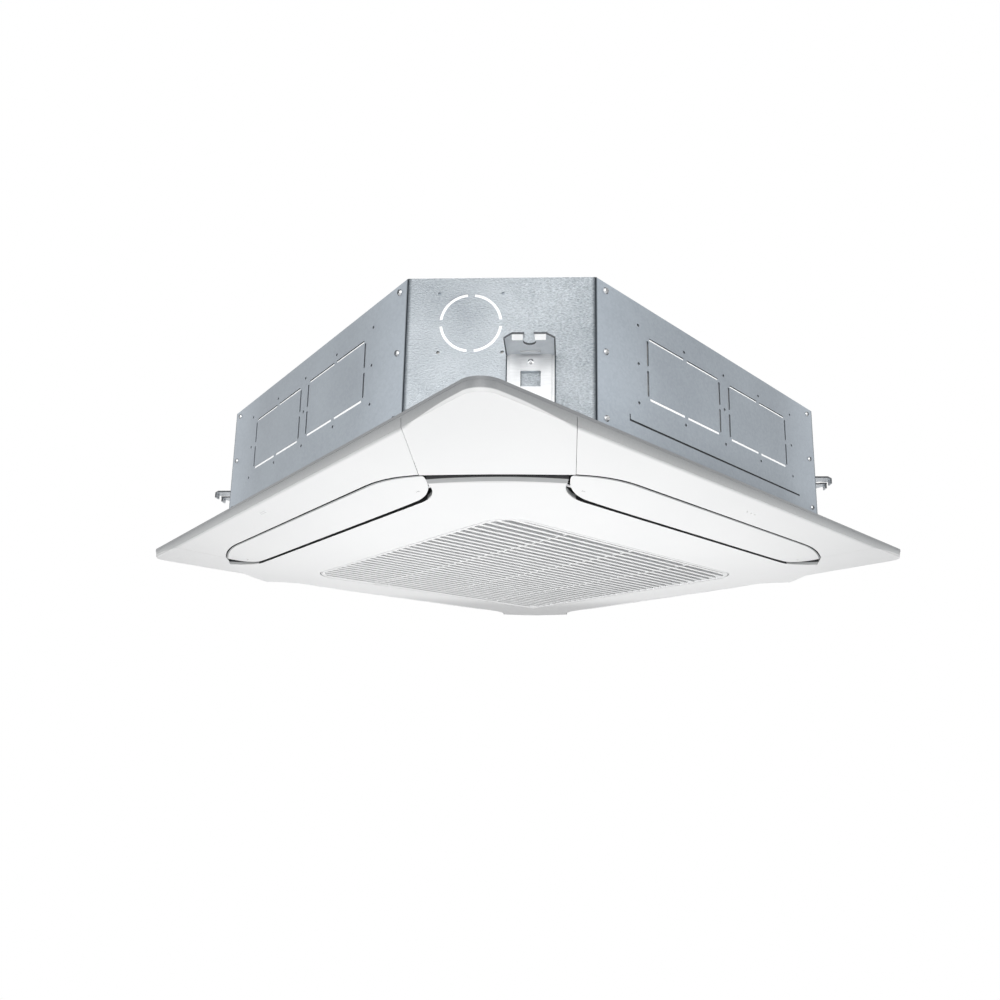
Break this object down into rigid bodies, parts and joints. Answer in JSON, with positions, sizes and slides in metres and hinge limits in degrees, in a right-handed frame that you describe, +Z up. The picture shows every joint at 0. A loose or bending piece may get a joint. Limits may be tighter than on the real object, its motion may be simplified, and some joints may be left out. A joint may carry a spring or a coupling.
{
  "type": "ceiling cassette air conditioner",
  "caption": "Recessed ceiling cassette indoor unit: square white panel with a slatted intake grille and swinging air vanes below a sheet-metal body with hanging brackets.",
  "frame": {"origin": "centre of the four hanger holes, in the plane of the flanges underside where the rod nuts sit, on the axis of the fan", "axes": "+Z up, away from the room and into the ceiling; +X towards the grille hinge; +Y towards the back side, with the refrigerant pipes at the -X +Y corner"},
  "size_m": [0.95, 0.95, 0.257],
  "materials": {
    "galvanised_sheet": "satin spangled zinc",
    "hanger_steel": "satin",
    "plated_fasteners": "satin",
    "white_foam": "matte beaded foam",
    "dark_foam": "matte",
    "coil_aluminium": "satin",
    "copper_tube": "satin copper",
    "brass_fitting": "satin",
    "grey_plastic": "matte",
    "black_rubber": "matte",
    "motor_steel": "satin",
    "circuit_board": "satin",
    "white_panel_plastic": "semi-gloss",
    "filter_plastic": "satin",
    "filter_net": "woven",
    "clear_plastic": "clear",
    "dark_plastic": "gloss"
  },
  "bodies": {
    "casing": {"bell_mouth": "grey_plastic", "casing_screws": "plated_fasteners", "casing_top": "galvanised_sheet", "coil_end_plates": "galvanised_sheet", "coil_fins": "coil_aluminium", "control_board": "circuit_board", "control_box": "grey_plastic", "control_cover": "galvanised_sheet", "corner_cover_far": "white_panel_plastic", "corner_cover_left": "white_panel_plastic", "corner_cover_near": "white_panel_plastic", "corner_cover_right": "white_panel_plastic", "corner_plate_far": "galvanised_sheet", "corner_plate_left": "galvanised_sheet", "corner_plate_near": "galvanised_sheet", "corner_plate_right": "galvanised_sheet", "drain_outlet": "grey_plastic", "drain_pan": "white_foam", "drain_pump": "grey_plastic", "fan_motor": "motor_steel", "float_stem": "grey_plastic", "gas_pipe": "copper_tube", "gas_union": "brass_fitting", "hanger_far": "hanger_steel", "hanger_left": "hanger_steel", "hanger_near": "hanger_steel", "hanger_right": "hanger_steel", "hanger_rivets": "plated_fasteners", "indicator_bar": "clear_plastic", "insulation_liner": "white_foam", "liquid_pipe": "copper_tube", "liquid_union": "brass_fitting", "motor_bushes": "black_rubber", "motor_mount": "galvanised_sheet", "outlet_gasket": "dark_foam", "panel_frame": "white_panel_plastic", "panel_screws": "plated_fasteners", "receiver_window": "dark_plastic", "return_bends": "copper_tube", "side_back": "galvanised_sheet", "side_front": "galvanised_sheet", "side_left": "galvanised_sheet", "side_right": "galvanised_sheet", "vane_motor_back": "motor_steel", "vane_motor_front": "motor_steel", "vane_motor_left": "motor_steel", "vane_motor_right": "motor_steel"},
    "fan": {"turbo_fan": "grey_plastic", "motor_shaft": "plated_fasteners", "fan_nut": "plated_fasteners"},
    "vane_front": {"vane_front": "white_panel_plastic"},
    "vane_right": {"vane_right": "white_panel_plastic"},
    "vane_back": {"vane_back": "white_panel_plastic"},
    "vane_left": {"vane_left": "white_panel_plastic"},
    "grille": {"intake_grille": "white_panel_plastic", "filter_frame": "filter_plastic", "filter_mesh": "filter_net"},
    "latch_front": {"grille_latch_front": "white_panel_plastic"},
    "latch_back": {"grille_latch_back": "white_panel_plastic"},
    "float": {"float_ring": "grey_plastic"}
  },
  "joints": [
    {"name": "fan_spin", "type": "hinge", "parent": "casing", "child": "fan", "pos_m": [0, 0, 0.0265], "axis": [0, 0, 1], "continuous": true},
    {"name": "vane_front_swing", "type": "hinge", "parent": "casing", "child": "vane_front", "pos_m": [0, -0.383, -0.1465], "axis": [1, 0, 0], "range_deg": [0, 38]},
    {"name": "vane_right_swing", "type": "hinge", "parent": "casing", "child": "vane_right", "pos_m": [0.383, 0, -0.1465], "axis": [0, 1, 0], "range_deg": [0, 38]},
    {"name": "vane_back_swing", "type": "hinge", "parent": "casing", "child": "vane_back", "pos_m": [0, 0.383, -0.1465], "axis": [-1, 0, 0], "range_deg": [0, 38]},
    {"name": "vane_left_swing", "type": "hinge", "parent": "casing", "child": "vane_left", "pos_m": [-0.383, 0, -0.1465], "axis": [0, -1, 0], "range_deg": [0, 38]},
    {"name": "grille_swing", "type": "hinge", "parent": "casing", "child": "grille", "pos_m": [0.228, 0, -0.152], "axis": [0, -1, 0], "range_deg": [0, 90]},
    {"name": "latch_front_slide", "type": "slide", "parent": "grille", "child": "latch_front", "axis": [1, 0, 0], "range_m": [0, 0.007]},
    {"name": "latch_back_slide", "type": "slide", "parent": "grille", "child": "latch_back", "axis": [1, 0, 0], "range_m": [0, 0.007]},
    {"name": "float_rise", "type": "slide", "parent": "casing", "child": "float", "axis": [0, 0, 1], "range_m": [0, 0.012]}
  ]
}
